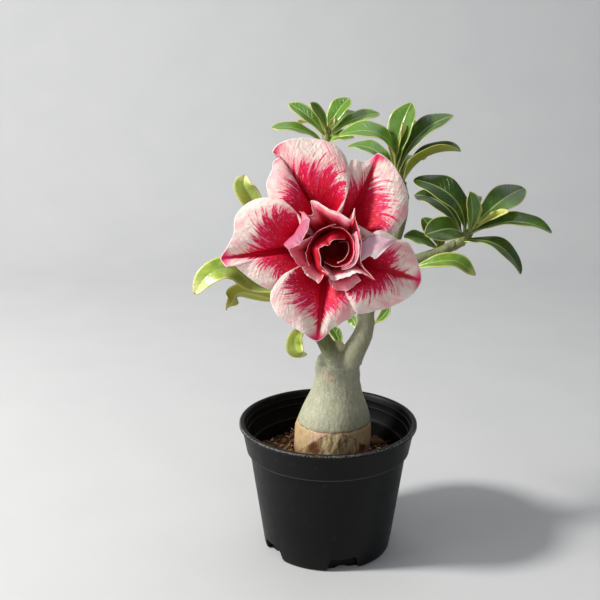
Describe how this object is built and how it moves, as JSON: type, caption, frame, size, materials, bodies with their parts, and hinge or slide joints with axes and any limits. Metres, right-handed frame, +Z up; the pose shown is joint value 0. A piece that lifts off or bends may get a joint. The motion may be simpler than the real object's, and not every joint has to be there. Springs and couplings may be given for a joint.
{
  "type": "potted desert rose adenium",
  "caption": "Grafted desert rose with a swollen trunk, leafy shoots and a large double bloom, in a tapered black nursery pot with a collar rim.",
  "frame": {"origin": "centre of the flat pad under the pot, on the surface that it stands on", "axes": "+Z up along the pot's axis, the bloom faces -Y, the long leafy branch reaches to +X"},
  "size_m": [0.173, 0.122, 0.2256],
  "materials": {
    "pot": "satin black moulded plastic with a rough worn lip",
    "soil": "coarse dry bark and fibre mix",
    "trunk": "smooth grey-green bark, tan and cracked near the soil",
    "leaves": "glossy green upper side, yellow-green margin and underside",
    "petals": "cream margin, crimson streaks and a dark red throat"
  },
  "bodies": {
    "root": {"pot": "pot", "soil": "soil", "trunk": "trunk", "shoot_top": "leaves", "shoot_right": "leaves", "shoot_side": "leaves", "shoot_back": "leaves", "shoot_flowering": "leaves", "leaf_right_low": "leaves", "leaf_right_stem": "leaves", "leaf_left_hanging": "leaves", "leaf_fork_low": "leaves", "leaf_fork_high": "leaves", "bloom": "petals"}
  },
  "joints": []
}
